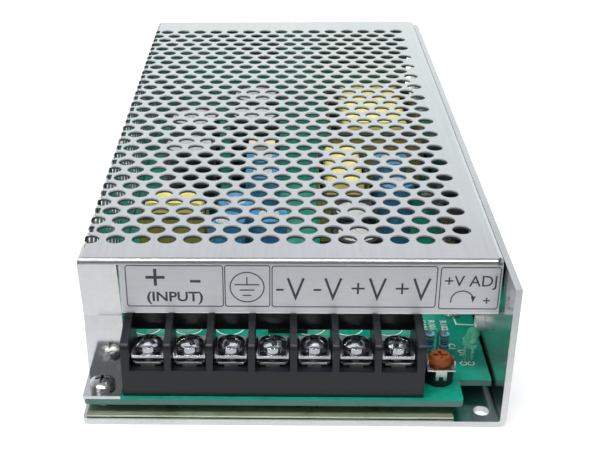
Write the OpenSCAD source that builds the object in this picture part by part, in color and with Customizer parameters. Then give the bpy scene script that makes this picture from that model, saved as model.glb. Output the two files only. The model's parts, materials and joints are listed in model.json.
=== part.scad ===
// Enclosed power converter: perforated steel cover on a folded aluminium chassis,
// open front with a seven way screw terminal block, trimmer and indicator.
// Units are millimetres, +Z is up, -Y is the terminal side.
// Origin: centre of the footprint on the underside.

/* [Case] */
// Overall length, front to back
case_length = 199; // [194:1:210]
// Overall width
case_width = 98; // [97:0.5:102]
// Overall height
case_height = 38; // [37:0.5:42]
// Sheet thickness of the aluminium chassis
base_thickness = 1.5; // [1.2:0.1:1.8]
// Sheet thickness of the steel cover
cover_thickness = 0.8; // [0.6:0.1:1]
// How far the chassis wall stops below the cover top
wall_drop = 1.5; // [1:0.25:2.5]

/* [Ventilation] */
// Hole diameter
vent_d = 4.5; // [3:0.25:4.75]
// Hole spacing along a row
vent_pitch = 6; // [5.75:0.25:7]
// Spacing between rows
vent_row = 5; // [4.75:0.25:6]

/* [Board] */
// Height of the pillars under the board
pillar_height = 3; // [2.75:0.25:3.5]
// Board thickness
board_thickness = 1.6; // [1.2:0.2:2]

/* [Terminals] */
// Spacing of the terminals
way_pitch = 9.6; // [9.35:0.05:9.65]
// Height of the screws' clamp washers above the contacts at rest
clamp_gap = 1.1; // [1.05:0.05:1.5]
// Screw head diameter
head_d = 6.2; // [5.6:0.1:6.3]

/* [Hidden] */
$fn = 48;
e = 0.01;
ways = 7;
lf = -case_width / 2;
rt = case_width / 2;
fr = -case_length / 2;
bk = case_length / 2;
// Board parts keep their share of the width
kx = case_width / 98;
// Chassis
bend = 2;
wall_top = case_height - wall_drop;
wall_in = rt - base_thickness;
floor_hole_r = 1.825;
floor_hole_x = rt - 5.1;
floor_hole_y = fr + 4.25;
tap_r = 1.25;
burr_r = 1.95;
burr_length = 2.1;
burr_z = 11.3;
burr_y = [fr + 27, bk - 27];
wall_tap_y = fr + 4.8;
wall_tap_z = wall_top - 5.9;
// Board
sheet_t = 0.4;
sheet_curl = 0.2;
board_z = base_thickness + pillar_height;
board_top = board_z + board_thickness;
board_left = lf + 0.95;
board_left_front = lf + 0.45;
board_right = wall_in - 0.6;
board_front = fr + 1.6;
board_back = bk - 2.5;
tongue_right = lf + 88.2 * kx;
tongue_y = fr + 10;
pillar_at = [[lf + 6, fr + 24], [rt - 7.5, fr + 40], [lf + 6, bk - 16], [rt - 7.5, bk - 16]];
// Terminal block
block_x = -4.7 * kx;
pitch = way_pitch * kx;
block_front = fr + 2.8;
block_back = fr + 17.5;
fin = 1.6;
end_fin = 0.3;
screw_y = fr + 8.4;
contact_front = screw_y - 2.7;
ledge = board_top + 6.9;
contact_top = ledge + 1.1;
washer_z = contact_top + clamp_gap;
washer_t = 0.8;
washer_half = (pitch - fin) / 2 - 0.25;
lip = 0.4;
tab_half = washer_half * 0.42;
head_z = washer_z + washer_t + 0.02;
head_h = 2.4;
head_r = head_d / 2 * kx;
head_angle = [45, 25, 60, 12, 50, 33, 72];
fin_front = board_top + 14.1;
fin_top = board_top + 15.9;
fin_round = 1.5;
label_bottom = fin_top + 2;
shank_r = 1.9;
bay_bore_r = 2.4;
function way_x(i) = block_x + (i - (ways + 1) / 2) * pitch;
// Cover
slip = 0.35;
cb = 1.2;
cover_right = wall_in - slip;
label_y = fr + 10.5;
label_left = lf + 9.4;
strip_right = lf + 8.95;
// The plain strip leans in to its knee and stands upright below it
strip_in = 2.7;
strip_knee = board_top + 15.5;
cover_foot = base_thickness + 0.2;
flange_bottom = case_height - 10;
relief = 1.6;
corner = 0.6;
tab_right = lf + 9.1;
tab_front = fr + 1.5;
strip_foot_y = label_y + strip_in;
wall_front = strip_foot_y + cover_thickness + 0.4;
foot_screw_x = lf + 4.4;
foot_screw_y = fr + 6;
side_screw_y = [fr + 32, 0, bk - 22];
side_screw_z = wall_top - 3.5;
under_screw_x = [lf + 14, rt - 14];
under_screw_y = bk - 6;
rear_foot = 10;
// Trimmer and indicator
trim_x = lf + 83.4 * kx;
trim_y = fr + 10.4;
trim_top = board_top + 4.6;
led_x = lf + 91.3 * kx;
led_y = fr + 17;
led_z = board_top + 5.5;
led_tilt = 12;
res_x = [lf + 82.6 * kx, lf + 86.2 * kx];
res_y = fr + 22;
// Perforation, first hole nearest the label edge and the left wall
vent_r = vent_d / 2;
vent_y0 = label_y + 10;
vent_rows = floor((bk - 13 - vent_y0) / vent_row) + 1;
vent_x0 = lf + 7.6;
vent_x_end = cover_right - 8.5;
vent_cols = floor((vent_x_end - vent_x0) / vent_pitch) + 1;
vent_wall_top = case_height - 4.6;
vent_wall_cols = floor((vent_wall_top - cover_foot - 12) / vent_pitch) + 1;
// Inner parts, each on the board
trans_at = [27 * kx, fr + 131];
choke_at = [15.5 * kx, fr + 88];
filter_at = [-32.2 * kx, fr + 66.5];
black_caps = [[-30 * kx, fr + 95], [-30 * kx, fr + 117], [-11 * kx, fr + 120], [-11 * kx, fr + 138],
    [17 * kx, fr + 47], [17 * kx, fr + 60.5]];
black_cap_r = [8, 8, 8, 8, 6.25, 6.25];
black_cap_h = [25, 25, 25, 25, 20, 20];
blue_caps = [[-8 * kx, fr + 86], [-8 * kx, fr + 97.5], [-17.3 * kx, fr + 54.5], [-15 * kx, fr + 66.5],
    [-6 * kx, fr + 58], [30 * kx, fr + 79], [30 * kx, fr + 96]];
fuse_x = -31 * kx;
blue_cap_r = 5;
blue_cap_h = 20;
trans_y = [fr + 60, fr + 76];
// Power transistors pressed to the chassis wall
pad_t = 0.4;
tr_x = wall_in - pad_t;
clamp_mid = (trans_y[0] + trans_y[1]) / 2;
clamp_half = 17;
tr_low = board_top + 5;
pad_top = flange_bottom - 0.9;
tr_top = pad_top - 1;
clamp_z = (tr_low + tr_top) / 2 + 0.5;

// Box between two corners
module box(a, b) {
    translate(a) cube(b - a);
}

// Upright cylinder
module rod(x, y, z0, z1, r) {
    translate([x, y, z0]) cylinder(h = z1 - z0, r = r);
}

// Cylinder along +X
module rod_x(x0, x1, y, z, r) {
    translate([x0, y, z]) rotate([0, 90, 0]) cylinder(h = x1 - x0, r = r);
}

// Quarter ring of a sheet bend, centre at the origin, with short arms that run into the two plates
module bend_ring(r_out, t) {
    translate([r_out - t, -0.2]) square([t, 0.2]);
    translate([-0.2, r_out - t]) square([0.2, t]);
    intersection() {
        difference() {
            circle(r = r_out);
            circle(r = r_out - t);
        }
        square(r_out + 1);
    }
}

// Rounded rectangle from exact pieces
module round_rect(x0, y0, x1, y1, r) {
    translate([x0 + r, y0]) square([x1 - x0 - 2 * r, y1 - y0]);
    translate([x0, y0 + r]) square([x1 - x0, y1 - y0 - 2 * r]);
    for (x = [x0 + r, x1 - r])
        for (y = [y0 + r, y1 - r])
            translate([x, y]) circle(r = r);
}

// Cross recess of a screw head, cut from z downwards
module cross_recess(x, y, z, depth, size, wide) {
    box([x - size / 2, y - wide / 2, z - depth], [x + size / 2, y + wide / 2, z + 1]);
    box([x - wide / 2, y - size / 2, z - depth], [x + wide / 2, y + size / 2, z + 1]);
}

// Pan head screw, underside of the head at z
module pan_screw(x, y, z, r, h, shank, length) {
    difference() {
        union() {
            rod(x, y, z, z + h * 0.5, r);
            intersection() {
                rod(x, y, z + h * 0.5 - e, z + h, r);
                translate([x, y, z + h - r * 1.6]) sphere(r = r * 1.6, $fn = 64);
            }
            rod(x, y, z - length, z + e, shank);
        }
        cross_recess(x, y, z + h, h * 0.55, r * 1.1, r * 0.24);
    }
}

// Flat head screw along +Z, head face at z = 0
module flat_screw(length) {
    cylinder(h = 1.3, r1 = 2.7, r2 = 1.4);
    translate([0, 0, 1.3 - e]) cylinder(h = length - 1.3, r = 1.4);
}

module base_chassis() {
    color([0.78, 0.79, 0.8])
    difference() {
        union() {
            translate([0, bk, 0]) rotate([90, 0, 0]) linear_extrude(case_length) {
                translate([lf + 0.2, 0]) square([case_width - bend - 0.2, base_thickness]);
                translate([wall_in, bend]) square([base_thickness, wall_top - bend]);
                translate([rt - bend, bend]) mirror([0, 1]) bend_ring(bend, base_thickness);
            }
            for (y = burr_y)
                rod_x(wall_in - burr_length, wall_in + e, y, burr_z, burr_r);
        }
        // Rounded front left corner of the floor
        translate([lf + 0.2 - e, fr - e, -1]) difference() {
            cube([1.5, 1.5, 5]);
            translate([1.5, 1.5, -1]) cylinder(h = 7, r = 1.5);
        }
        rod_x(wall_in - 1, rt + 1, wall_tap_y, wall_tap_z, tap_r);
        rod(floor_hole_x, floor_hole_y, -1, base_thickness + 1, floor_hole_r);
        for (y = burr_y)
            rod_x(wall_in - burr_length - 1, rt + 1, y, burr_z, tap_r);
        for (y = side_screw_y)
            translate([rt, y, side_screw_z]) rotate([0, -90, 0]) {
                translate([0, 0, -e]) cylinder(h = 1.4, r1 = 2.8, r2 = 1.5);
                cylinder(h = 4, r = 1.5);
            }
        for (x = under_screw_x)
            translate([x, under_screw_y, 0]) {
                translate([0, 0, -e]) cylinder(h = 1.4, r1 = 2.8, r2 = 1.5);
                cylinder(h = 4, r = 1.5);
            }
        for (p = pillar_at)
            rod(p[0], p[1], -1, base_thickness + 1, 1.5);
        for (s = [-1, 1])
            rod_x(wall_in - 1, rt + 1, clamp_mid + s * clamp_half, clamp_z, 1.5);
    }
}

// One row of vent holes across the top and down the left wall
module vent_line(i) {
    odd = i % 2;
    y = vent_y0 + i * vent_row;
    shift = odd == 1 ? -vent_pitch / 2 : 0;
    for (c = [0 : vent_cols - 1 + odd])
        rod(vent_x0 + shift + c * vent_pitch, y, case_height - 2.5, case_height + 1, vent_r);
    if (odd == 0)
        rod(vent_x0 - vent_pitch, y, case_height - 1.8, case_height + 1, vent_r);
    for (c = [0 : vent_wall_cols - 1])
        rod_x(lf - 1, lf + 2.5, y, vent_wall_top - shift - c * vent_pitch - odd * vent_pitch, vent_r);
    if (odd == 1)
        rod_x(lf - 1, lf + 1.8, y, vent_wall_top + vent_pitch / 2, vent_r);
}

module cover_sheet() {
    t = cover_thickness;
    h = case_height;
    // Top plate
    box([lf + cb, label_y + cb, h - t], [cover_right - cb, bk - cb, h]);
    // Left wall and its bend
    box([lf, wall_front, cover_foot], [lf + t, bk - cb, h - cb]);
    translate([lf + cb, bk - relief, h - cb]) rotate([90, 0, 0])
        linear_extrude(bk - label_y - relief - corner) mirror([1, 0]) bend_ring(cb, t);
    // Right flange inside the chassis wall
    box([cover_right - t, label_y + relief, flange_bottom], [cover_right, bk - relief, h - cb]);
    translate([cover_right - cb, bk - relief, h - cb]) rotate([90, 0, 0])
        linear_extrude(bk - label_y - 2 * relief) bend_ring(cb, t);
    // Rear wall with a foot flange on the chassis floor
    box([lf + relief, bk - t, cover_foot + cb], [cover_right - relief, bk, h - cb]);
    translate([lf + relief, bk - cb, h - cb]) rotate([90, 0, 90])
        linear_extrude(cover_right - lf - 2 * relief) bend_ring(cb, t);
    translate([lf + relief, bk - cb, cover_foot + cb]) rotate([90, 0, 90])
        linear_extrude(cover_right - lf - 2 * relief) mirror([0, 1]) bend_ring(cb, t);
    box([lf + relief, bk - rear_foot, cover_foot], [cover_right - relief, bk - cb + e, cover_foot + t]);
    // Left wall returns to the rear wall
    translate([lf + cb, bk - cb, cover_foot + relief]) linear_extrude(h - cover_foot - 2 * relief)
        mirror([1, 0]) bend_ring(cb, t);
    box([lf + cb - e, bk - t, cover_foot + relief], [lf + relief + e, bk, h - relief]);
    // Front bend, label flange and plain strip
    translate([lf + corner, label_y + cb, h - cb]) rotate([90, 0, 90])
        linear_extrude(cover_right - lf - relief - corner) mirror([1, 0]) bend_ring(cb, t);
    box([label_left, label_y, label_bottom], [cover_right - slip, label_y + t, h - cb]);
    foot_strip();
    // Foot tab on the board, in one with the strip
    box([lf + 0.4, tab_front, board_top], [tab_right, strip_foot_y + t, board_top + t]);
}

// Plain strip from the front bend down to its foot
module foot_strip() {
    t = cover_thickness;
    top = case_height - cb;
    translate([lf, 0, 0]) rotate([90, 0, 90]) linear_extrude(strip_right - lf) polygon([
        [label_y, top], [strip_foot_y, strip_knee], [strip_foot_y, board_top],
        [strip_foot_y + t, board_top], [strip_foot_y + t, strip_knee], [label_y + t, top]]);
}

module top_cover() {
    color([0.86, 0.87, 0.88])
    difference() {
        cover_sheet();
        for (i = [0 : vent_rows - 1])
            vent_line(i);
        rod(foot_screw_x, foot_screw_y, board_top - 1, board_top + 3, 1.55);
        for (y = side_screw_y)
            rod_x(cover_right - 2, cover_right + 1, y, side_screw_z, 1.5);
        for (x = under_screw_x)
            rod(x, under_screw_y, 0, 5, 1.5);
    }
}

// Thin sheet on the floor, curling up a little at its front edge
module insulating_sheet() {
    z = base_thickness;
    up = z + sheet_curl;
    back = bk - rear_foot - 0.5;
    color([0.86, 0.9, 0.72])
    difference() {
        translate([lf + 1, 0, 0]) rotate([90, 0, 90]) linear_extrude(tongue_right - 3.2 - lf) polygon([
            [fr + 0.7, up], [fr + 5, z], [back, z], [back, z + sheet_t],
            [fr + 5, z + sheet_t], [fr + 0.7, up + sheet_t]]);
        for (p = pillar_at)
            rod(p[0], p[1], z - 1, z + 3, 3.2);
    }
}

module circuit_board() {
    color([0.05, 0.45, 0.3])
    difference() {
        translate([0, 0, board_z]) linear_extrude(board_thickness) {
            round_rect(board_left_front, board_front, tongue_right, tongue_y + 4, 1.2);
            translate([board_left, tongue_y]) square([board_right - board_left, board_back - tongue_y]);
        }
        rod(foot_screw_x, foot_screw_y, board_z - 1, board_top + 1, 1.55);
        for (p = pillar_at)
            rod(p[0], p[1], board_z - 1, board_top + 1, 1.6);
        for (i = [1 : ways])
            rod(way_x(i), block_back - 1.5, board_z - 1, board_top + 1, 0.9);
    }
}

module board_pillars() {
    color([0.75, 0.75, 0.72])
    for (p = pillar_at)
        difference() {
            union() {
                rod(p[0], p[1], 0.1, base_thickness + e, 1.4);
                rod(p[0], p[1], base_thickness, board_z, 2.75);
            }
            rod(p[0], p[1], 1, board_z + 1, 1.2);
        }
}

module board_screws() {
    color([0.8, 0.8, 0.8])
    for (p = pillar_at)
        pan_screw(p[0], p[1], board_top, 2.75, 1.9, 1.1, board_thickness + 2);
}

module foot_screw() {
    color([0.8, 0.8, 0.8])
    pan_screw(foot_screw_x, foot_screw_y, board_top + cover_thickness, 3, 2.1, 1.45,
        cover_thickness + board_thickness + 1.2);
}

module foot_nut() {
    color([0.82, 0.82, 0.8])
    difference() {
        rod(foot_screw_x, foot_screw_y, board_z - 2, board_z, 2.3);
        rod(foot_screw_x, foot_screw_y, board_z - 3, board_z + 1, 1.5);
    }
}

module cover_screws() {
    color([0.8, 0.8, 0.8]) {
        for (y = side_screw_y)
            translate([rt - 0.05, y, side_screw_z]) rotate([0, -90, 0]) difference() {
                flat_screw(4.5);
                cross_recess(0, 0, -0.3, 0.7, 2.8, 0.7);
            }
        for (x = under_screw_x)
            translate([x, under_screw_y, 0.05]) difference() {
                flat_screw(3.6);
                cross_recess(0, 0, -0.3, 0.7, 2.8, 0.7);
            }
    }
}

// Fin outline, x up and y to the back, with a rounded front corner
module fin_outline() {
    polygon([
        [board_top, block_front], [fin_front - fin_round, block_front],
        [fin_front - fin_round, block_front + fin_round], [fin_front, block_front + fin_round],
        [fin_top, block_front + 11], [fin_top, block_back], [board_top, block_back]]);
    translate([fin_front - fin_round, block_front + fin_round]) circle(r = fin_round);
}

module terminal_housing() {
    color([0.12, 0.12, 0.13])
    difference() {
        union() {
            box([way_x(1) - pitch / 2 - fin / 2 - end_fin, block_front, board_top],
                [way_x(ways) + pitch / 2 + fin / 2 + end_fin, block_back, ledge]);
            for (i = [0 : ways])
                translate([way_x(i) + pitch / 2 + fin / 2 + (i == ways ? end_fin : 0), 0, 0]) rotate([0, -90, 0])
                    linear_extrude(fin + (i == 0 || i == ways ? end_fin : 0)) fin_outline();
            box([way_x(1) - pitch / 2, block_back - 2.9, fin_top - 5],
                [way_x(ways) + pitch / 2, block_back - 1.4, fin_top]);
        }
        for (i = [1 : ways]) {
            rod(way_x(i), screw_y, board_top + 1.2, ledge + 1, bay_bore_r);
            box([way_x(i) - 1, block_back - 2, board_top - 1], [way_x(i) + 1, block_back - 1, ledge + 1]);
        }
    }
}

module terminal_contacts() {
    color([0.8, 0.78, 0.7])
    for (i = [1 : ways])
        difference() {
            union() {
                box([way_x(i) - washer_half + 0.2, contact_front, ledge + 0.5],
                    [way_x(i) + washer_half - 0.2, block_back - 1.1, contact_top]);
                box([way_x(i) - washer_half * 0.8, contact_front - 0.7, ledge + 0.5],
                    [way_x(i) + washer_half * 0.8, contact_front + e, contact_top]);
                box([way_x(i) - tab_half, contact_front - 0.7, ledge],
                    [way_x(i) + tab_half, contact_front, contact_top]);
                box([way_x(i) - 0.6, block_back - 1.9, board_z - 1.2], [way_x(i) + 0.6, block_back - 1.1, contact_top]);
            }
            rod(way_x(i), screw_y, ledge - 1, contact_top + 1, shank_r + 0.2);
        }
}

module clamp_washer(i) {
    color([0.85, 0.85, 0.83])
    difference() {
        box([way_x(i) - washer_half, screw_y - 3.5, washer_z],
            [way_x(i) + washer_half, screw_y + 3, washer_z + 1.4]);
        box([way_x(i) - washer_half + lip, screw_y - 4, washer_z + washer_t],
            [way_x(i) + washer_half - lip, screw_y + 4, washer_z + 2]);
        rod(way_x(i), screw_y, washer_z - 1, washer_z + 2, shank_r + 0.2);
    }
}

module terminal_screw(i) {
    color([0.88, 0.87, 0.85])
    difference() {
        union() {
            rod(way_x(i), screw_y, head_z, head_z + head_h * 0.6, head_r);
            intersection() {
                rod(way_x(i), screw_y, head_z + head_h * 0.6 - e, head_z + head_h, head_r);
                translate([way_x(i), screw_y, head_z + head_h - 6.4]) sphere(r = 6.4, $fn = 64);
            }
            rod(way_x(i), screw_y, board_top + 3, head_z + e, shank_r);
        }
        translate([way_x(i), screw_y, 0]) rotate(head_angle[i - 1]) {
            cross_recess(0, 0, head_z + head_h, 1.7, 4.4, 1.2);
            box([-head_r - 1, -0.45, head_z + head_h - 0.9], [head_r + 1, 0.45, head_z + head_h + 1]);
        }
    }
}

module clamp_washer_1() { clamp_washer(1); }
module clamp_washer_2() { clamp_washer(2); }
module clamp_washer_3() { clamp_washer(3); }
module clamp_washer_4() { clamp_washer(4); }
module clamp_washer_5() { clamp_washer(5); }
module clamp_washer_6() { clamp_washer(6); }
module clamp_washer_7() { clamp_washer(7); }
module terminal_screw_1() { terminal_screw(1); }
module terminal_screw_2() { terminal_screw(2); }
module terminal_screw_3() { terminal_screw(3); }
module terminal_screw_4() { terminal_screw(4); }
module terminal_screw_5() { terminal_screw(5); }
module terminal_screw_6() { terminal_screw(6); }
module terminal_screw_7() { terminal_screw(7); }

module trimmer_base() {
    color([0.1, 0.1, 0.11])
    difference() {
        rod(trim_x, trim_y, board_top, trim_top, 3.4);
        rod(trim_x, trim_y, trim_top - 2, trim_top + 1, 1);
    }
}

module trimmer_strap() {
    color([0.82, 0.82, 0.82])
    difference() {
        union() {
            box([trim_x - 3.25, trim_y - 3.8, trim_top], [trim_x + 3.25, trim_y + 2.6, trim_top + 0.4]);
            box([trim_x - 1.3, trim_y - 3.8, trim_top - 2.4], [trim_x + 1.3, trim_y - 3.42, trim_top + 0.4]);
            for (s = [-1, 1])
                translate([trim_x + s * 3.11 - 0.14, trim_y - 2.6, trim_top]) cube([0.28, 3.2, 2.2]);
        }
        rod(trim_x, trim_y, trim_top - 1, trim_top + 1, 1);
        box([trim_x - 0.5, trim_y - 4, trim_top - 3], [trim_x + 0.5, trim_y - 3, trim_top - 1.5]);
    }
}

module trimmer_rotor() {
    color([0.62, 0.3, 0.12])
    difference() {
        union() {
            rod(trim_x, trim_y, trim_top + 0.5, trim_top + 1.2, 2.9);
            translate([trim_x, trim_y, trim_top + 1.2 - e]) cylinder(h = 1.1, r1 = 2.9, r2 = 2.2);
            rod(trim_x, trim_y, trim_top - 1.5, trim_top + 0.6, 0.9);
        }
        cross_recess(trim_x, trim_y, trim_top + 2.3, 0.9, 3.4, 0.8);
    }
}

module led_lens() {
    color([0.3, 0.75, 0.45])
    translate([led_x, led_y, led_z]) rotate([0, led_tilt, 0]) {
        cylinder(h = 1, r = 1.95);
        translate([0, 0, 1 - e]) cylinder(h = 2.2, r = 1.55);
        translate([0, 0, 3.2]) sphere(r = 1.55);
    }
}

module led_leads() {
    color([0.8, 0.8, 0.78])
    for (s = [-1, 1])
        box([led_x + s * 0.9 - 0.25, led_y - 0.25, board_top],
            [led_x + s * 0.9 + 0.25, led_y + 0.25, led_z - 0.06 - s * 0.19]);
}

module resistor_bodies() {
    color([0.2, 0.5, 0.75])
    for (x = res_x) {
        rod(x, res_y, board_top + 1.2, board_top + 2.3, 1.15);
        rod(x, res_y, board_top + 2.3 - e, board_top + 4.2, 0.95);
        rod(x, res_y, board_top + 4.2 - e, board_top + 5.3, 1.15);
    }
}

module resistor_leads() {
    color([0.8, 0.8, 0.78])
    for (x = res_x) {
        rod(x, res_y, board_top, board_top + 1.2, 0.3);
        rod(x - 1.6, res_y, board_top, board_top + 6.1, 0.3);
        rod_x(x - 1.6, x + 0.3, res_y, board_top + 5.8, 0.3);
        rod(x, res_y, board_top + 5.3, board_top + 6.1, 0.3);
    }
}

// Two end bars joined by a middle leg, centre at p
module wound_core(p, wide, deep, bar, low, high, leg_r) {
    for (s = [-1, 1])
        box([p[0] - wide / 2, p[1] + s * (deep / 2 - bar / 2) - bar / 2, low],
            [p[0] + wide / 2, p[1] + s * (deep / 2 - bar / 2) + bar / 2, high]);
    translate([p[0], p[1] + deep / 2 - e, (low + high) / 2]) rotate([90, 0, 0])
        cylinder(h = deep - 2 * e, r = leg_r);
}

// Taped winding around the middle leg
module winding(p, wide, deep, bar, high, leg_z, leg_r) {
    difference() {
        translate([p[0], p[1] + deep / 2 - bar - 0.2, 0]) rotate([90, 0, 0])
            linear_extrude(deep - 2 * bar - 0.4)
                round_rect(-wide / 2, board_top, wide / 2, high, 2.5);
        translate([p[0], p[1] + deep / 2, leg_z]) rotate([90, 0, 0]) cylinder(h = deep, r = leg_r + 0.3);
    }
}

module transformer_core() {
    color([0.15, 0.15, 0.16])
    wound_core(trans_at, 28, 44, 4.5, board_top, board_top + 22, 5);
}

module transformer_winding() {
    color([0.9, 0.78, 0.2])
    winding(trans_at, 20, 44, 4.5, board_top + 24.5, board_top + 11, 5);
}

module choke_core() {
    color([0.2, 0.22, 0.2])
    wound_core(choke_at, 14, 34, 3.5, board_top, board_top + 18, 4);
}

module choke_winding() {
    color([0.9, 0.76, 0.2])
    winding(choke_at, 10.5, 34, 3.5, board_top + 22, board_top + 9, 4);
}

module filter_core() {
    color([0.2, 0.22, 0.2])
    wound_core(filter_at, 18, 14, 3, board_top, board_top + 18, 4);
}

module filter_winding() {
    color([0.92, 0.7, 0.18])
    winding(filter_at, 16.4, 14, 3, board_top + 21, board_top + 9, 4);
}

module can(p, r, h) {
    rod(p[0], p[1], board_top, board_top + h, r - 0.5);
}

module sleeve(p, r, h) {
    difference() {
        rod(p[0], p[1], board_top, board_top + h, r);
        rod(p[0], p[1], board_top - 1, board_top + h + 1, r - 0.4);
    }
}

module capacitor_cans() {
    color([0.8, 0.81, 0.82]) {
        for (i = [0 : len(black_caps) - 1])
            can(black_caps[i], black_cap_r[i], black_cap_h[i]);
        for (p = blue_caps)
            can(p, blue_cap_r, blue_cap_h);
    }
}

module black_sleeves() {
    color([0.1, 0.1, 0.11])
    for (i = [0 : len(black_caps) - 1])
        sleeve(black_caps[i], black_cap_r[i], black_cap_h[i]);
}

module blue_sleeves() {
    color([0.15, 0.3, 0.6])
    for (p = blue_caps)
        sleeve(p, blue_cap_r, blue_cap_h);
}

module power_transistors() {
    color([0.16, 0.16, 0.17])
    for (y = trans_y) {
        box([tr_x - 4.5, y - 5.2, tr_low], [tr_x, y + 5.2, tr_top]);
        for (s = [-1 : 1])
            box([tr_x - 2.8, y + s * 2.54 - 0.4, board_top], [tr_x - 2.2, y + s * 2.54 + 0.4, tr_low + 0.1]);
    }
}

module transistor_pad() {
    color([0.7, 0.72, 0.74])
    box([tr_x, clamp_mid - 14.5, tr_low - 1], [wall_in, clamp_mid + 14.5, pad_top]);
}

module clamp_bar() {
    color([0.75, 0.76, 0.78])
    difference() {
        box([tr_x - 7.3, clamp_mid - 21, clamp_z - 4], [tr_x - 4.5, clamp_mid + 21, clamp_z + 4]);
        for (s = [-1, 1])
            rod_x(tr_x - 9, tr_x - 4, clamp_mid + s * clamp_half, clamp_z, 1.6);
    }
}

module clamp_screws() {
    color([0.8, 0.8, 0.8])
    for (s = [-1, 1])
        difference() {
            union() {
                rod_x(tr_x - 9.2, tr_x - 7.3, clamp_mid + s * clamp_half, clamp_z, 2.75);
                rod_x(tr_x - 7.3 - e, rt - 0.2, clamp_mid + s * clamp_half, clamp_z, 1.4);
            }
            box([tr_x - 10, clamp_mid + s * clamp_half - 2, clamp_z - 0.4],
                [tr_x - 8.4, clamp_mid + s * clamp_half + 2, clamp_z + 0.4]);
        }
}

module film_capacitor() {
    color([0.85, 0.8, 0.7])
    translate([-8.5 * kx, 0, 0]) box([-4, fr + 103.2, board_top], [4, fr + 110, board_top + 21]);
}

module fuse_tube() {
    color([0.85, 0.9, 0.9])
    rod_x(fuse_x - 7, fuse_x + 7, fr + 36, board_top + 4, 2.3);
}

module fuse_caps() {
    color([0.8, 0.75, 0.6])
    for (x = [fuse_x - 12.2, fuse_x + 7]) {
        rod_x(x, x + 5.2, fr + 36, board_top + 4, 2.7);
        box([x + 0.6, fr + 33.3, board_top], [x + 4.6, fr + 38.7, board_top + 4]);
    }
}

module control_chip() {
    color([0.1, 0.1, 0.11])
    translate([-1 * kx, 0, 0]) box([-5, fr + 30, board_top], [5, fr + 36.4, board_top + 3.6]);
}

base_chassis();
top_cover();
insulating_sheet();
circuit_board();
board_pillars();
board_screws();
foot_screw();
foot_nut();
cover_screws();
terminal_housing();
terminal_contacts();
clamp_washer_1();
clamp_washer_2();
clamp_washer_3();
clamp_washer_4();
clamp_washer_5();
clamp_washer_6();
clamp_washer_7();
terminal_screw_1();
terminal_screw_2();
terminal_screw_3();
terminal_screw_4();
terminal_screw_5();
terminal_screw_6();
terminal_screw_7();
trimmer_base();
trimmer_strap();
trimmer_rotor();
led_lens();
led_leads();
resistor_bodies();
resistor_leads();
transformer_core();
transformer_winding();
choke_core();
choke_winding();
filter_core();
filter_winding();
capacitor_cans();
black_sleeves();
blue_sleeves();
power_transistors();
transistor_pad();
clamp_bar();
clamp_screws();
film_capacitor();
fuse_tube();
fuse_caps();
control_chip();
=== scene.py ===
"""Looks of the enclosed power converter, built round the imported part. Lengths here are millimetres
until the mesh helpers turn them into metres; the frame is the part's own, +Z up, -Y the terminal side."""

import json
import math

import bmesh
import bpy
from mathutils import Matrix, Vector


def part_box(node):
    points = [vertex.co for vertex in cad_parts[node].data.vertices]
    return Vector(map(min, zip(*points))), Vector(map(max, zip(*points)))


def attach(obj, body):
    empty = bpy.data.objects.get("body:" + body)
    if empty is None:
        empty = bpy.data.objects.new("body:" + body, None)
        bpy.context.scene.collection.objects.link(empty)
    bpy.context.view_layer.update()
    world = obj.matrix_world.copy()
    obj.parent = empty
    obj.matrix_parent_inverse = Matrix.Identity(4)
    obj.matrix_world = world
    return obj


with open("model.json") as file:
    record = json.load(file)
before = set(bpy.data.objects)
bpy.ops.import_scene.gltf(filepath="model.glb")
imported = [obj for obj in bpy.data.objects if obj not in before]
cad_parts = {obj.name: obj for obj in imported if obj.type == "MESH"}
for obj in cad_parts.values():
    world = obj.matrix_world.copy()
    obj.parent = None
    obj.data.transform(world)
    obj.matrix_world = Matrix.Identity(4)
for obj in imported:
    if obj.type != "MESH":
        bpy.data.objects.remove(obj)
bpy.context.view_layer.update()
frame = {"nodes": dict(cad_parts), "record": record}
scene = bpy.context.scene
nodes = frame["nodes"]

MM = 0.001  # one millimetre in metres

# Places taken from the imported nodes, in millimetres
chassis_low, chassis_high = (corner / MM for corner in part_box("base_chassis"))
cover_low, cover_high = (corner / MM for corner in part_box("top_cover"))
FRONT = chassis_low.y
RIGHT = chassis_high.x
LEFT = cover_low.x
TOP = cover_high.z
BOARD_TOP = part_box("circuit_board")[1].z / MM
# Sizes of the folded sheets, in millimetres
LABEL_Y = FRONT + 10.5      # outside of the label flange
VENTS_FRONT = FRONT + 16    # all vent holes lie behind this
BEND = 1.2                  # outer radius of the cover's bends
CHASSIS_SHEET = 1.55        # a little more than the chassis wall, so that the wall itself stays out
CLEAR_OF_FLOOR = 4.0        # above the floor and its bend
# Thin pieces stand this far off the solid that they lie on, in millimetres
FOIL_LIFT, FOIL_THICK = 0.04, 0.03
INK_LIFT, INK_THICK = 0.07, 0.02
MARK_LIFT, MARK_THICK = 0.03, 0.02
FOLD_LIFT, FOLD_THICK = 0.06, 0.05
BAND_THICK, BAND_TALL = 0.02, 0.3
BELT_GAP, BELT_THICK = 0.02, 0.1


# Colours and node helpers

def srgb(code, alpha=1.0):
    """Hex sRGB colour as the linear values that the shaders take."""
    parts = [int(code[i:i + 2], 16) / 255 for i in (0, 2, 4)]
    return tuple(c / 12.92 if c <= 0.04045 else ((c + 0.055) / 1.055) ** 2.4 for c in parts) + (alpha,)


def add(tree, kind, inputs=None, **settings):
    """New node with its settings and inputs; an input may be a value or another node's socket."""
    node = tree.nodes.new(kind)
    for key, value in settings.items():
        setattr(node, key, value)
    for key, value in (inputs or {}).items():
        if isinstance(value, bpy.types.NodeSocket):
            tree.links.new(value, node.inputs[key])
        else:
            node.inputs[key].default_value = value
    return node


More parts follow.
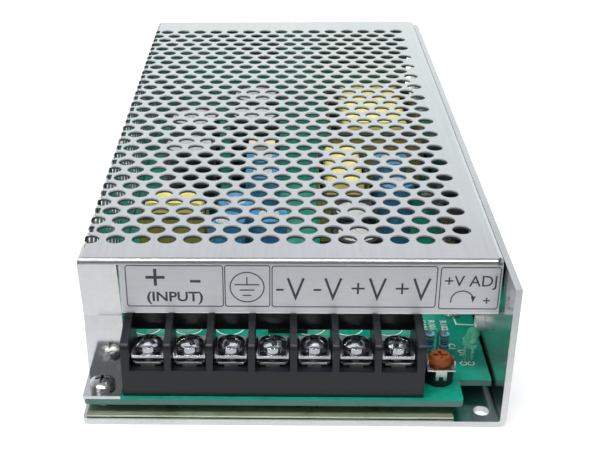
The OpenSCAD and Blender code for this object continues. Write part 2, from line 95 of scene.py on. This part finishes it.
def leaning(axis, start, end):
    """Maker of a mask of faces, told by how far they lean to an axis."""
    def maker(tree):
        facing = add(tree, "ShaderNodeNewGeometry").outputs["Normal"]
        facing = add(tree, "ShaderNodeSeparateXYZ", {0: facing})
        lean = add(tree, "ShaderNodeMath", {0: facing.outputs[axis]}, operation="ABSOLUTE").outputs[0]
        return add(tree, "ShaderNodeMapRange",
                   {"Value": lean, "From Min": start, "From Max": end}).outputs["Result"]
    return maker


def punched(depth):
    """Maker of a mask of the vent holes' walls, down to that depth in millimetres below the outside."""
    level_enough = 0.3  # a wall's normal leans less than this out of the sheet

    def maker(tree):
        place = add(tree, "ShaderNodeTexCoord").outputs["Object"]
        place = add(tree, "ShaderNodeSeparateXYZ", {0: place}).outputs
        facing = add(tree, "ShaderNodeNewGeometry").outputs["True Normal"]
        facing = add(tree, "ShaderNodeSeparateXYZ", {0: facing}).outputs
        holes = 0.0
        for axis, test, face in (("Z", "GREATER_THAN", TOP - depth), ("X", "LESS_THAN", LEFT + depth)):
            sheet = add(tree, "ShaderNodeMath", {0: place[axis], 1: face * MM}, operation=test).outputs[0]
            side = add(tree, "ShaderNodeMath", {0: facing[axis], 1: 0.0, 2: level_enough},
                       operation="COMPARE").outputs[0]
            wall = add(tree, "ShaderNodeMath", {0: sheet, 1: side}, operation="MULTIPLY").outputs[0]
            holes = add(tree, "ShaderNodeMath", {0: wall, 1: holes}, operation="MAXIMUM").outputs[0]
        vented = add(tree, "ShaderNodeMath", {0: place["Y"], 1: VENTS_FRONT * MM}, operation="GREATER_THAN")
        return add(tree, "ShaderNodeMath", {0: holes, 1: vented.outputs[0]}, operation="MULTIPLY").outputs[0]
    return maker


def collars(tree):
    """Mask of the tapped collars, which stand in from the side wall and well above the floor."""
    place = add(tree, "ShaderNodeTexCoord").outputs["Object"]
    place = add(tree, "ShaderNodeSeparateXYZ", {0: place}).outputs
    inside = add(tree, "ShaderNodeMath", {0: place["X"], 1: (RIGHT - CHASSIS_SHEET) * MM},
                 operation="LESS_THAN")
    raised = add(tree, "ShaderNodeMath", {0: place["Z"], 1: CLEAR_OF_FLOOR * MM}, operation="GREATER_THAN")
    return add(tree, "ShaderNodeMath", {0: inside.outputs[0], 1: raised.outputs[0]},
               operation="MULTIPLY").outputs[0]


def recess_shade(tree):
    """Mask of painted shade in the slots and crosses of screw heads, told by how shut in a point is within a
    millimetre.
    """
    room = add(tree, "ShaderNodeAmbientOcclusion", {"Distance": 1.0 * MM}, samples=8, only_local=True)
    return add(tree, "ShaderNodeMapRange",
               {"Value": room.outputs["AO"], "From Min": 0.8, "From Max": 0.45}).outputs["Result"]


def finish(name, dark, light, rough=(0.4, 0.5), grain=3.0, stretch=(1, 1, 1), bump=0.1, depth=0.05,
           blotch=18.0, overlays=(), soft=0.0, **shader):
    """Material with two scales of colour and roughness variation.
    dark and light are the ends of the colour's range, rough those of the roughness.
    grain and blotch are the sizes of the fine and broad pattern in millimetres, drawn coarser than
    real ones where those would not show; stretch draws the fine one out along an axis.
    bump is the strength of the fine relief, and depth its height in millimetres.
    The overlay layers are (mask, colour, roughness, metallic), where mask is a function that makes the mask;
    some are cut edges of the real part, and some are painted shade or painted light.
    soft is the radius in millimetres to which sharp edges are rounded."""
    mat = bpy.data.materials.new(name)
    mat.use_nodes = True
    tree = mat.node_tree
    bsdf = tree.nodes["Principled BSDF"]
    for key, value in shader.items():
        bsdf.inputs[key.replace("_", " ")].default_value = value
    place = add(tree, "ShaderNodeTexCoord").outputs["Object"]
    spread = add(tree, "ShaderNodeMapping", {"Vector": place, "Scale": stretch}).outputs["Vector"]
    fine = add(tree, "ShaderNodeTexNoise",
               {"Vector": spread, "Scale": 1 / (grain * MM), "Detail": 4.0, "Roughness": 0.6}).outputs["Fac"]
    broad = add(tree, "ShaderNodeTexNoise",
                {"Vector": place, "Scale": 1 / (blotch * MM), "Detail": 2.0}).outputs["Fac"]
    both = add(tree, "ShaderNodeMath", {0: fine, 1: broad}, operation="ADD").outputs[0]
    span = {"Value": both, "From Min": 0.7, "From Max": 1.3}
    part = add(tree, "ShaderNodeMapRange", span).outputs["Result"]
    colour = add(tree, "ShaderNodeMix", {"Factor": part, "A": srgb(dark), "B": srgb(light)},
                 data_type="RGBA").outputs["Result"]
    gloss = add(tree, "ShaderNodeMapRange",
                {**span, "To Min": rough[0], "To Max": rough[1]}).outputs["Result"]
    metal = shader.get("Metallic", 0.0)
    for maker, layer_colour, layer_rough, layer_metal in overlays:
        mask = maker(tree)
        paler = [c * 1.12 for c in srgb(layer_colour)[:3]] + [1]
        layered = add(tree, "ShaderNodeMix", {"Factor": part, "A": srgb(layer_colour), "B": paler}, data_type="RGBA")
        colour = add(tree, "ShaderNodeMix", {"Factor": mask, "A": colour, "B": layered.outputs["Result"]},
                     data_type="RGBA").outputs["Result"]
        gloss = add(tree, "ShaderNodeMapRange",
                    {"Value": mask, "To Min": gloss, "To Max": layer_rough}).outputs["Result"]
        metal = add(tree, "ShaderNodeMapRange",
                    {"Value": mask, "To Min": metal, "To Max": layer_metal}).outputs["Result"]
    if overlays:
        tree.links.new(metal, bsdf.inputs["Metallic"])
    tree.links.new(colour, bsdf.inputs["Base Color"])
    tree.links.new(gloss, bsdf.inputs["Roughness"])
    relief = add(tree, "ShaderNodeBump", {"Height": fine, "Strength": bump, "Distance": depth * MM})
    if soft:
        rounded = add(tree, "ShaderNodeBevel", {"Radius": soft * MM}, samples=6)
        tree.links.new(rounded.outputs["Normal"], relief.inputs["Normal"])
    tree.links.new(relief.outputs["Normal"], bsdf.inputs["Normal"])
    return mat


# Bright zinc plate on cold rolled sheet: nearly a mirror, with faint rolling grain along the length.
# The walls of its punched holes are dark grey where the metal tore, partly the dull torn metal and partly
# painted shade inside the holes, below the smooth band that the punch cut
ZINC = finish("zinc plated steel sheet", "d4d5d7", "dfe0e2", (0.1, 0.15), 1.2, (1, 0.06, 1), 0.02, 0.008,
              30, ((punched(1.0), "4c5153", 0.6, 0.2), (punched(0.35), "d6d9db", 0.5, 0.25)), Metallic=1.0)
# Satin label foil, which draws reflections out up and down
FOIL = finish("satin silver label foil", "e3e5ea", "ecedf1", (0.34, 0.38), 0.8, (0.1, 1, 1), 0.03, 0.005,
              30, Metallic=1.0, Anisotropic=0.8, Anisotropic_Rotation=0.25)
# Bright rolled aluminium sheet with matt sheared ends, and collars painted paler and less metallic, partly
# the matt skin of the drawn metal and partly a painted highlight
ALUMINIUM = finish("bright aluminium sheet", "cdd0d2", "dfe1e2", (0.18, 0.26), 0.9, (1, 0.05, 1), 0.03,
                   0.01, 25, ((leaning("Y", 0.85, 0.95), "dfe1e1", 0.42, 1.0), (collars, "eceeef", 0.5, 0.3)),
                   Metallic=1.0)
# Greenish polyester film, slightly see-through, coloured darker than its own pale tone as painted shade from
# the board above it; its cut edges are near white, partly their own pale cut and partly painted light
FILM = finish("insulating film with painted shade", "7a8367", "969e83", (0.25, 0.35), 4, (1, 1, 1), 0.05, 0.02, 12,
              ((leaning("Z", 0.6, 0.4), "eef2e2", 0.6, 0.0),), Alpha=0.85)
# Glossy solder mask over copper, with the paler cut laminate at the edges
MASK = finish("green solder mask", "0e8a71", "1aa389", (0.16, 0.26), 1.5, (1, 1, 1), 0.05, 0.03, 9,
              ((leaning("Z", 0.6, 0.4), "487a6f", 0.5, 0.0),), Coat_Weight=0.4)
# Bright plated fasteners and small pressings, with painted shade darkening their recesses
PLATED = finish("bright plated steel", "bdbdba", "e0dfdb", (0.2, 0.3), 0.6, (1, 1, 1), 0.02, 0.01, 5,
                ((recess_shade, "242322", 0.5, 0.4),), 0.2, Metallic=1.0)
# Flame retardant moulded nylon with a fine satin skin
NYLON = finish("black satin moulded nylon", "101319", "191d25", (0.34, 0.44), 0.5, (1, 1, 1), 0.12, 0.015, 10,
               soft=0.4)
# Tinned brass contact strip
TINNED = finish("tinned brass strip", "bdbec0", "dddee0", (0.34, 0.44), 0.7, (1, 0.3, 1), 0.06, 0.01, 4,
                soft=0.25, Metallic=1.0)
# Nickel plated terminal screws and clamp plates, with painted shade darkening their recesses
NICKEL = finish("bright nickel plate", "a9adb1", "cdd0d5", (0.07, 0.15), 0.5, (1, 1, 1), 0.05, 0.01, 3,
                ((recess_shade, "1c1b1a", 0.5, 0.4),), 0.25, Metallic=1.0)
# Trimmer body
PHENOLIC = finish("black phenolic moulding", "0e0e10", "1c1c20", (0.35, 0.5), 0.4, (1, 1, 1), 0.1, 0.01, 3)
# Trimmer rotor
AMBER = finish("orange brown moulded plastic", "7c3a14", "9c5622", (0.35, 0.5), 0.8, (1, 1, 1), 0.1, 0.02,
               2.5, soft=0.25)
# Indicator body, diffused epoxy
EPOXY_GREEN = finish("green diffused epoxy", "58e6b8", "8af6d6", (0.1, 0.18), 1, (1, 1, 1), 0.03, 0.01, 2,
                     Transmission_Weight=0.3, Coat_Weight=0.5)
# Component wire
WIRE = finish("tinned copper wire", "b0b0ad", "d8d8d5", (0.2, 0.32), 0.4, (1, 1, 0.2), 0.05, 0.01, 3,
              Metallic=1.0)
# Metal film resistor lacquer
LACQUER = finish("blue resistor lacquer", "7cc6ea", "acdff6", (0.2, 0.32), 0.5, (1, 1, 1), 0.06, 0.01, 2)
# Sintered ferrite
FERRITE = finish("dark sintered ferrite", "1d1d20", "2d2d31", (0.45, 0.6), 0.5, (1, 1, 1), 0.2, 0.03, 6)
# Polyester tape over windings, laid in bands
TAPE = finish("yellow polyester tape", "cfc168", "e2d789", (0.22, 0.34), 2.5, (1, 6, 1), 0.12, 0.05, 8)
# The outer wrap of the same tape, coloured a deeper olive as painted shade on its sides
SHADED_TAPE = finish("tape wrap with painted shade", "837835", "988c44", (0.3, 0.42), 2.5, (1, 6, 1), 0.12, 0.05, 8)
# Drawn capacitor can
CAN = finish("drawn aluminium can", "cccdd0", "e6e7e9", (0.24, 0.36), 0.6, (1, 1, 1), 0.06, 0.01, 4,
             Metallic=0.6)
# Shrink sleeves
SLEEVE_BLACK = finish("black shrink sleeve", "101014", "1d1d22", (0.22, 0.34), 2, (1, 1, 1), 0.06, 0.03, 6)
SLEEVE_BLUE = finish("blue shrink sleeve", "2a6890", "4686aa", (0.2, 0.32), 2, (1, 1, 1), 0.06, 0.03, 6)
# Moulded semiconductor packages
PACKAGE = finish("black moulded epoxy", "141416", "232327", (0.45, 0.6), 0.3, (1, 1, 1), 0.12, 0.01, 4)
# Silicone thermal pad
PAD = finish("grey silicone pad", "b4b8bb", "cbced1", (0.6, 0.75), 0.5, (1, 1, 1), 0.15, 0.02, 5)
# Dipped film capacitor coating
DIPPED = finish("cream dipped coating", "c3b48f", "dccfae", (0.25, 0.4), 1.5, (1, 1, 1), 0.08, 0.03, 5)
# Fuse tube
GLASS = finish("clear fuse glass", "dfe9e8", "f2f7f6", (0.04, 0.08), 3, (1, 1, 1), 0.02, 0.01, 6,
               Transmission_Weight=0.9)
# Printing ink of the legends and the board's marks
INK = finish("dark grey printing ink", "3d4048", "4b4e57", (0.5, 0.6), 0.4, (1, 1, 1), 0.05, 0.005, 4)
WHITE_INK = finish("white board ink", "d9dedb", "eef1ef", (0.5, 0.62), 0.4, (1, 1, 1), 0.05, 0.005, 4)

# The cover's long bends are shaded as true arcs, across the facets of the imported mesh, and drawn metal
# is less bright than the flat sheet
BEND_ROUGH = 0.3
tree = ZINC.node_tree
skin = tree.nodes["Principled BSDF"]
place = add(tree, "ShaderNodeTexCoord").outputs["Object"]
place = add(tree, "ShaderNodeSeparateXYZ", {0: place}).outputs
over = add(tree, "ShaderNodeMath", {0: place["Z"], 1: (TOP - BEND) * MM}, operation="SUBTRACT").outputs[0]
for axis, middle in (("X", LEFT + BEND), ("Y", LABEL_Y + BEND)):
    out = add(tree, "ShaderNodeMath", {0: place[axis], 1: middle * MM}, operation="SUBTRACT").outputs[0]
    spoke = add(tree, "ShaderNodeCombineXYZ", {axis: out, "Z": over}).outputs[0]
    reach = add(tree, "ShaderNodeVectorMath", {0: spoke}, operation="LENGTH").outputs["Value"]
    mask = 1.0
    for value, test, limit in ((out, "LESS_THAN", 0.0), (over, "GREATER_THAN", 0.0),
                               (reach, "GREATER_THAN", 0.8 * BEND * MM)):
        passed = add(tree, "ShaderNodeMath", {0: value, 1: limit}, operation=test).outputs[0]
        mask = add(tree, "ShaderNodeMath", {0: mask, 1: passed}, operation="MULTIPLY").outputs[0]
    spoke = add(tree, "ShaderNodeVectorMath", {0: spoke}, operation="NORMALIZE").outputs[0]
    flat = skin.inputs["Normal"].links[0].from_socket
    arched = add(tree, "ShaderNodeMix", {"Factor": mask, "A": flat, "B": spoke}, data_type="VECTOR")
    tree.links.new(arched.outputs["Result"], skin.inputs["Normal"])
    gloss = skin.inputs["Roughness"].links[0].from_socket
    drawn = add(tree, "ShaderNodeMapRange", {"Value": mask, "To Min": gloss, "To Max": BEND_ROUGH})
    tree.links.new(drawn.outputs["Result"], skin.inputs["Roughness"])

# The foil's grain runs across the case
tree = FOIL.node_tree
across = add(tree, "ShaderNodeCombineXYZ", {"X": 1.0}).outputs[0]
tree.links.new(across, tree.nodes["Principled BSDF"].inputs["Tangent"])

SLOTS = {
    "chassis_aluminium": ALUMINIUM, "cover_steel": ZINC, "insulating_film": FILM, "board_green": MASK,
    "plated_steel": PLATED, "block_black": NYLON, "tinned_contact": TINNED, "nickel_screw": NICKEL,
    "trimmer_black": PHENOLIC, "rotor_brown": AMBER, "led_green": EPOXY_GREEN, "tinned_lead": WIRE,
    "resistor_blue": LACQUER, "ferrite": FERRITE, "yellow_tape": TAPE, "can_aluminium": CAN,
    "sleeve_black": SLEEVE_BLACK, "sleeve_blue": SLEEVE_BLUE, "transistor_black": PACKAGE, "pad_grey": PAD,
    "film_cream": DIPPED, "fuse_glass": GLASS, "fuse_metal": TINNED,
}
for part in frame["record"]["subparts"]:
    obj = nodes[part["node"]]
    obj.data.materials.clear()
    obj.data.materials.append(SLOTS[part["material_slot"]])


# Mesh helpers

def piece(name, bm, mat, body):
    """Object from a bmesh in millimetres, riding on a body."""
    bmesh.ops.recalc_face_normals(bm, faces=bm.faces)
    bmesh.ops.scale(bm, vec=(MM, MM, MM), verts=bm.verts)
    mesh = bpy.data.meshes.new(name)
    bm.to_mesh(mesh)
    bm.free()
    mesh.materials.append(mat)
    obj = bpy.data.objects.new(name, mesh)
    scene.collection.objects.link(obj)
    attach(obj, body)


def stroke(bm, points, width, to_plane, closed=False):
    """Faces of a flat band of that width along points in the drawing plane; to_plane places (u, v)."""
    sharpest = 0.3  # a corner sharper than this is cut short
    pts = [Vector(p) for p in points]
    count = len(pts)
    sides = []
    for i, p in enumerate(pts):
        before = pts[i - 1] if i or closed else p
        after = pts[(i + 1) % count] if i + 1 < count or closed else p
        d_in = (p - before).normalized() if (p - before).length else (after - p).normalized()
        d_out = (after - p).normalized() if (after - p).length else d_in
        along = (d_in + d_out).normalized()
        across = Vector((-along.y, along.x)) * width / 2 / max(sharpest, along.dot(d_in))
        sides.append((bm.verts.new(to_plane(p + across)), bm.verts.new(to_plane(p - across))))
    spans = [(sides[i], sides[(i + 1) % count]) for i in range(count if closed else count - 1)]
    return [bm.faces.new((a[0], a[1], b[1], b[0])) for a, b in spans]


def plus(bm, x, y, half_wide, half_high, width, to_plane):
    """Flat plus sign about a point of the drawing plane."""
    w = width / 2
    corner = [(half_wide, -w), (half_wide, w), (w, w), (w, half_high), (-w, half_high), (-w, w)]
    outline = corner + [(-u, -v) for u, v in corner]
    bm.faces.new([bm.verts.new(to_plane((x + u, y + v))) for u, v in outline])


def thicken(bm, faces, by):
    """Closed slab from flat faces, drawn out by a vector."""
    made = bmesh.ops.extrude_face_region(bm, geom=faces)["geom"]
    moved = [part for part in made if isinstance(part, bmesh.types.BMVert)]
    bmesh.ops.translate(bm, verts=moved, vec=by)


def level(z):
    """Level drawing plane at that height."""
    return lambda p: Vector((p[0], p[1], z))


def arc(cx, cy, r, a0, a1, steps=24):
    """Points of an arc, angles in degrees."""
    return [(cx + r * math.cos(math.radians(a0 + (a1 - a0) * i / steps)),
             cy + r * math.sin(math.radians(a0 + (a1 - a0) * i / steps))) for i in range(steps + 1)]


def circle(cx, cy, r, steps):
    """Points of a full circle, for a closed stroke."""
    return arc(cx, cy, r, 0, 360, steps)[:-1]


def round_box(x0, y0, x1, y1, r):
    """Outline of a rounded rectangle, counter-clockwise."""
    return (arc(x1 - r, y0 + r, r, -90, 0, 5) + arc(x1 - r, y1 - r, r, 0, 90, 5)
            + arc(x0 + r, y1 - r, r, 90, 180, 5) + arc(x0 + r, y0 + r, r, 180, 270, 5))


def words(bm, text, x, y, cap, to_plane, wide=1.0, weight=0.0):
    """Letters as flat mesh: centre x, baseline y and capital height in the drawing plane."""
    capital = 0.69  # height of a capital in the built-in letters, as a share of their size
    curve = bpy.data.curves.new("letters", "FONT")
    curve.body = text
    curve.align_x = "CENTER"
    curve.offset = weight
    curve.resolution_u = 3
    holder = bpy.data.objects.new("letters", curve)
    scene.collection.objects.link(holder)
    bpy.context.view_layer.update()
    mesh = bpy.data.meshes.new_from_object(holder.evaluated_get(bpy.context.evaluated_depsgraph_get()))
    size = cap / capital
    old = set(bm.verts)
    bm.from_mesh(mesh)
    for vert in bm.verts:
        if vert not in old:
            vert.co = to_plane(Vector((x + vert.co.x * size * wide, y + vert.co.y * size)))
    bpy.data.objects.remove(holder)
    bpy.data.meshes.remove(mesh)
    bpy.data.curves.remove(curve)


# Printed legends on the label flange

def on_label(p):
    """Place on the foil of a point (x, z)."""
    return Vector((p[0], LABEL_Y - INK_LIFT, p[1]))


foil_left, foil_right = LEFT + 9.7, cover_high.x - 0.6
foil_bottom, foil_top = 24.3, TOP - 1.25
foil = bmesh.new()
outline = round_box(foil_left, foil_bottom, foil_right, foil_top, 0.3)
foil.faces.new([foil.verts.new((x, LABEL_Y - FOIL_LIFT, z)) for x, z in outline])
thicken(foil, foil.faces[:], (0, FOIL_THICK, 0))
piece("label_foil", foil, FOIL, "case")
# Frames of the four fields
ink = bmesh.new()
for x0, z0, x1, z1 in ((-38.07, 25.87, -16.0, 36.48), (-15.55, 25.9, -5.38, 36.53),
                       (-4.86, 25.83, 32.25, 36.44), (33.06, 25.45, 46.4, 36.22)):
    stroke(ink, round_box(x0, z0, x1, z1, 0.55), 0.24, on_label, closed=True)
# Input pair
plus(ink, -31.37, 33.45, 2.16, 2.19, 0.72, on_label)
stroke(ink, [(-23.47, 32.45), (-21.06, 32.45)], 0.66, on_label)
words(ink, "(INPUT)", -27.05, 27.25, 2.4, on_label, 1.08, 0.02)
# Earth mark
stroke(ink, circle(-10.54, 30.95, 3.85, 56), 0.28, on_label, closed=True)
stroke(ink, [(-10.56, 33.62), (-10.56, 31.66)], 0.28, on_label)
for half, z in ((2.83, 31.6), (1.68, 30.2), (1.02, 28.8)):
    stroke(ink, [(-10.57 - half, z), (-10.57 + half, z)], 0.3, on_label)
# Output pairs
for x, sign in ((0.48, "-"), (8.95, "-"), (18.98, "+"), (28.95, "+")):
    stroke(ink, [(x - 1.78, 33.35), (x, 28.2), (x + 1.78, 33.35)], 0.55, on_label)
    if sign == "-":
        stroke(ink, [(x - 4.4, 30.3), (x - 2.7, 30.3)], 0.5, on_label)
    else:
        plus(ink, x - 4.38, 30.7, 1.47, 1.45, 0.45, on_label)
# Adjuster mark with its turning arrow
words(ink, "+V ADJ", 39.93, 31.37, 2.75, on_label, 0.97, 0.004)
stroke(ink, arc(38.25, 27.6, 2.55, 190, 18, 20), 0.3, on_label)
tip = [on_label(p) for p in ((40.15, 28.75), (41.25, 28.75), (40.7, 27.05))]
ink.faces.new([ink.verts.new(p) for p in tip])
plus(ink, 43.8, 27.63, 0.8, 0.8, 0.32, on_label)
thicken(ink, ink.faces[:], (0, INK_THICK, 0))
piece("label_legends", ink, INK, "case")


# White marks printed on the board

def sideways(x, y):
    """Plane on the board for letters that read along the length, from the point (x, y)."""
    return lambda p: Vector((x + p[1], y - p[0], BOARD_TOP + MARK_LIFT))


on_board = level(BOARD_TOP + MARK_LIFT)
marks = bmesh.new()
stroke(marks, [(41.4, -53.5), (41.86, -60.2), (42.16, -64.7), (46.6, -65.05)], 0.36, on_board)
# Rings round the indicator's leads
half_lead = 0.25
lead_low, lead_high = (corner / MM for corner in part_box("led_leads"))
for x in (lead_low.x + half_lead, lead_high.x - half_lead):
    stroke(marks, circle(x, lead_low.y + half_lead, 0.75, 20), 0.26, on_board, closed=True)
# Rings behind the terminals, each with a short dash at its front
ring_y, ring_r = -66.6, 3.7
dash_y = ring_y - 5
for x in (-37.2, -26.4, -15.8, 4.8, 14.4, 24.6):
    stroke(marks, circle(x, ring_y, ring_r, 36), 0.3, on_board, closed=True)
    stroke(marks, [(x + 2.6, dash_y), (x + 4.2, dash_y)], 0.3, on_board)
# Part marks
for text, x, y in (("C101", 32.9, -65.2), ("R101", 35.2, -65.2), ("R102", 38.2, -65.4), ("C1", 38.9, -75.2),
                   ("D1", 40.9, -78.0)):
    words(marks, text, 0, 0, 1.6, sideways(x, y), 1.0, 0.02)
thicken(marks, marks.faces[:], (0, 0, -MARK_THICK))
piece("board_marks", marks, WHITE_INK, "case")


def solids(node):
    """Low and high corner of each separate solid of a node, in millimetres, in a fixed order."""
    bm = bmesh.new()
    bm.from_mesh(nodes[node].data)
    bm.transform(nodes[node].matrix_world)
    bmesh.ops.remove_doubles(bm, verts=bm.verts, dist=1e-6)
    left = set(bm.verts)
    found = []
    while left:
        todo = [left.pop()]
        group = []
        while todo:
            vert = todo.pop()
            group.append(vert.co / MM)
            for edge in vert.link_edges:
                other = edge.other_vert(vert)
                if other in left:
                    left.discard(other)
                    todo.append(other)
        found.append([Vector([pick(v[i] for v in group) for i in range(3)]) for pick in (min, max)])
    bm.free()
    return sorted(found, key=lambda box: box[0][:])


# Bands of the resistors' colour code
dark, brown = bmesh.new(), bmesh.new()
for a, b in solids("resistor_bodies"):
    x, y = (a.x + b.x) / 2, (a.y + b.y) / 2
    for bm, up, r in ((brown, 0.55, 1.15), (dark, 1.55, 0.95), (dark, 2.15, 0.95), (brown, 2.75, 0.95),
                      (brown, 3.6, 1.15)):
        foot = level(a.z + up - BAND_TALL / 2)
        band = stroke(bm, circle(x, y, r + BAND_THICK / 2, 36), BAND_THICK, foot, closed=True)
        thicken(bm, band, (0, 0, BAND_TALL))
piece("resistor_bands_dark", dark, PHENOLIC, "case")
piece("resistor_bands_brown", brown, AMBER, "case")
# The shrink sleeves fold over the rims of their cans
for node, wide, mat, slot in (("black_sleeves", 1.3, SLEEVE_BLACK, "sleeve_black"),
                              ("blue_sleeves", 2.2, SLEEVE_BLUE, "sleeve_blue")):
    fold = bmesh.new()
    for a, b in solids(node):
        r = (b.x - a.x) / 2
        rim = circle(a.x + r, a.y + r, r - wide / 2, 40)
        ring = stroke(fold, rim, wide, level(b.z + FOLD_LIFT), closed=True)
        thicken(fold, ring, (0, 0, -FOLD_THICK))
    piece(node + "_folds", fold, mat, "case")
# Belts of tape round the wound parts' cores, clear of their feet and tops, coloured olive as painted shade
BELT_FOOT, BELT_HEAD = 5.0, 0.6
out = BELT_GAP + BELT_THICK / 2
belts = bmesh.new()
for node in ("transformer_core", "choke_core", "filter_core"):
    a, b = (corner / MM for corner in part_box(node))
    rim = round_box(a.x - out, a.y - out, b.x + out, b.y + out, 0.6)
    belt = stroke(belts, rim, BELT_THICK, level(a.z + BELT_FOOT), closed=True)
    thicken(belts, belt, (0, 0, b.z - a.z - BELT_FOOT - BELT_HEAD))
piece("core_tape", belts, SHADED_TAPE, "case")


# Floor, backdrop, light and camera

def seen_plainly(tree):
    """Mask of what is seen straight from the camera or through something clear."""
    ray = add(tree, "ShaderNodeLightPath").outputs
    return add(tree, "ShaderNodeMath", {0: ray["Is Camera Ray"], 1: ray["Is Transmission Ray"]},
               operation="MAXIMUM").outputs[0]


plate = bmesh.new()
bmesh.ops.create_grid(plate, x_segments=1, y_segments=1, size=3)
floor_mesh = bpy.data.meshes.new("floor")
plate.to_mesh(floor_mesh)
plate.free()
floor = bpy.data.objects.new("floor", floor_mesh)
scene.collection.objects.link(floor)
paper = bpy.data.materials.new("white paper sweep")
paper.use_nodes = True
tree = paper.node_tree
seen = seen_plainly(tree)
lit = tree.nodes["Principled BSDF"]
# What metal mirrors of the paper falls off towards the terminal side; seen directly it is pale all round
place = add(tree, "ShaderNodeTexCoord").outputs["Object"]
near = add(tree, "ShaderNodeSeparateXYZ", {0: place}).outputs["Y"]
near = add(tree, "ShaderNodeMapRange", {"Value": near, "From Min": -0.2, "From Max": -0.1}).outputs["Result"]
near = add(tree, "ShaderNodeMath", {0: near, 1: seen}, operation="MAXIMUM").outputs[0]
shade = add(tree, "ShaderNodeMix", {"Factor": near, "A": srgb("7c7c7c"), "B": srgb("e4e4e4")},
            data_type="RGBA")
tree.links.new(shade.outputs["Result"], lit.inputs["Base Color"])
lit.inputs["Roughness"].default_value = 0.9
# Far from the part the paper glows up to white, so that the edge of the floor doesn't show
away = add(tree, "ShaderNodeVectorMath", {0: place}, operation="LENGTH").outputs["Value"]
away = add(tree, "ShaderNodeMapRange",
           {"Value": away, "From Min": 0.2, "From Max": 0.8, "To Min": 0.3}).outputs["Result"]
glow = add(tree, "ShaderNodeEmission", {"Color": srgb("ffffff"), "Strength": away})
both = add(tree, "ShaderNodeAddShader", {0: lit.outputs[0], 1: glow.outputs[0]})
pick = add(tree, "ShaderNodeMixShader", {0: seen, 1: lit.outputs[0], 2: both.outputs[0]})
tree.links.new(pick.outputs[0], tree.nodes["Material Output"].inputs["Surface"])
floor_mesh.materials.append(paper)

world = bpy.data.worlds.new("studio")
scene.world = world
world.use_nodes = True
tree = world.node_tree
seen = seen_plainly(tree)
# A bright room behind and above the part, and a dark one behind the viewer
way = add(tree, "ShaderNodeTexCoord").outputs["Generated"]
way = add(tree, "ShaderNodeSeparateXYZ", {0: way}).outputs
sky = add(tree, "ShaderNodeMapRange",
          {"Value": way["Z"], "From Min": 0.15, "From Max": 0.45, "To Min": 0.14, "To Max": 0.27})
back = add(tree, "ShaderNodeMapRange",
           {"Value": way["Y"], "From Min": -0.1, "From Max": 0.35, "To Min": sky.outputs["Result"],
            "To Max": 1.12}, interpolation_type="SMOOTHSTEP")
dim = add(tree, "ShaderNodeMapRange",
          {"Value": way["Z"], "From Min": 0.3, "From Max": 0.75, "To Min": 1.0, "To Max": 0.4})
room = add(tree, "ShaderNodeMath", {0: back.outputs["Result"], 1: dim.outputs["Result"]},
           operation="MULTIPLY").outputs[0]
cool = add(tree, "ShaderNodeMapRange", {"Value": way["Z"], "From Min": 0.36, "From Max": 0.5})
tint = add(tree, "ShaderNodeMix",
           {"Factor": cool.outputs["Result"], "A": srgb("f0f8f6"), "B": srgb("f6f8ff")}, data_type="RGBA")
tint = add(tree, "ShaderNodeVectorMath", {0: tint.outputs["Result"], "Scale": room},
           operation="SCALE").outputs[0]
shade = add(tree, "ShaderNodeMix", {"Factor": seen, "A": tint, "B": srgb("ffffff")}, data_type="RGBA")
tree.links.new(shade.outputs["Result"], tree.nodes["Background"].inputs["Color"])


def lamp(name, place, target, size, watts, mirrored=True):
    """Soft rectangular lamp at place, facing target, in metres; bare metal mirrors it unless told not to."""
    light = bpy.data.lights.new(name, "AREA")
    light.shape = "RECTANGLE"
    light.size, light.size_y = size
    light.energy = watts
    obj = bpy.data.objects.new(name, light)
    scene.collection.objects.link(obj)
    obj.location = place
    obj.rotation_euler = (Vector(target) - Vector(place)).to_track_quat("-Z", "Y").to_euler()
    obj.visible_glossy = mirrored
    obj.visible_camera = False


lamp("strip", (-0.1, -0.34, 0.85), (0, -0.05, 0.02), (0.8, 0.07), 5)
# Stands in for the daylight that falls in through the vents
lamp("inside", (0, -0.022, 0.0365), (0, -0.022, 0), (0.085, 0.13), 0.028, False)
lamp("overhead", (0, -0.05, 1.1), (0, 0, 0.02), (1.4, 1.2), 7.6, False)
lamp("front", (-0.5, -0.8, 0.7), (0, -0.08, 0.02), (0.5, 0.5), 0.9)

camera = bpy.data.cameras.new("camera")
camera.sensor_fit = "HORIZONTAL"
camera.sensor_width = 36
camera.lens = 64.41
camera.shift_x = 0.09
camera.shift_y = 0.0353
eye = bpy.data.objects.new("camera", camera)
scene.collection.objects.link(eye)
right = Vector((0.99956, 0.02719, -0.01165))
up = Vector((-0.00244, 0.46818, 0.88362))
ahead = Vector((-0.02948, 0.88321, -0.46804))
turn = Matrix((right, up, -ahead)).transposed().to_4x4()
eye.matrix_world = Matrix.Translation((-0.00362, -0.29996, 0.15326)) @ turn
scene.camera = eye
scene.view_settings.view_transform = "Standard"
